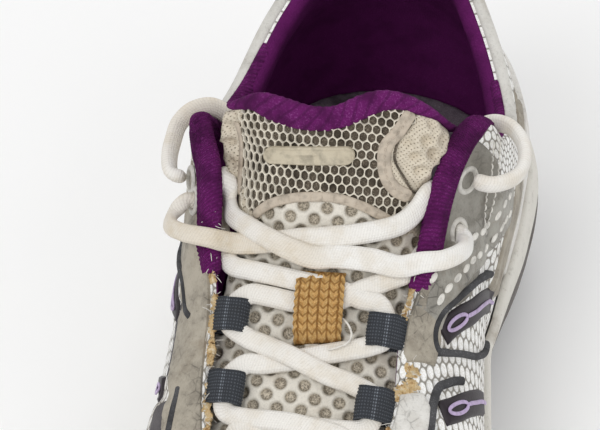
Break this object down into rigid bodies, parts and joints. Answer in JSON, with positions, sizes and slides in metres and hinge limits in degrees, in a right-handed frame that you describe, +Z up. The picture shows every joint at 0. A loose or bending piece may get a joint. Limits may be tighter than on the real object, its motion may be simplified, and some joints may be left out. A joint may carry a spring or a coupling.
{
  "type": "worn running shoe",
  "caption": "Worn right running shoe with a mesh upper, purple padded collar, hexagon mesh tongue, webbing lace loops and flat white laces, empty and standing on its sole.",
  "frame": {"origin": "centre of the shoe's footprint on the floor, under the midfoot", "axes": "+Z up, toe towards -Y, heel towards +Y, inner (big toe) side towards +X"},
  "size_m": [0.1022, 0.2634, 0.115],
  "materials": {
    "upper_mesh": "off-white knitted mesh with silver-grey coated overlays, dirty and cracked at the edges",
    "tongue_mesh": "off-white padded spacer mesh, stained",
    "midsole_foam": "white moulded foam gone grey, dark grey denser foam at the inner heel",
    "outsole_rubber": "dark grey tread rubber, worn matt",
    "insole_fabric": "purple brushed fabric over foam, flattened",
    "webbing": "slate-grey ribbed webbing",
    "keeper_knit": "tan knitted tape, fuzzy",
    "lace_cotton": "white oval woven lace with beige dirt",
    "lace_tip": "clear-white plastic sleeve"
  },
  "bodies": {
    "root": {"outsole_forefoot": "outsole_rubber", "outsole_heel": "outsole_rubber", "midsole": "midsole_foam", "insole": "insole_fabric", "upper": "upper_mesh", "tongue": "tongue_mesh", "webbing_loop_1_inner": "webbing", "webbing_loop_1_outer": "webbing", "webbing_loop_2_inner": "webbing", "webbing_loop_2_outer": "webbing", "webbing_loop_3_inner": "webbing", "webbing_loop_3_outer": "webbing", "webbing_loop_4_inner": "webbing", "webbing_loop_4_outer": "webbing", "lace_keeper": "keeper_knit", "lace_lower": "lace_cotton", "lace_top": "lace_cotton", "lace_end_inner": "lace_cotton", "lace_tip_inner": "lace_tip", "lace_end_outer": "lace_cotton", "lace_tip_outer": "lace_tip"}
  },
  "joints": []
}
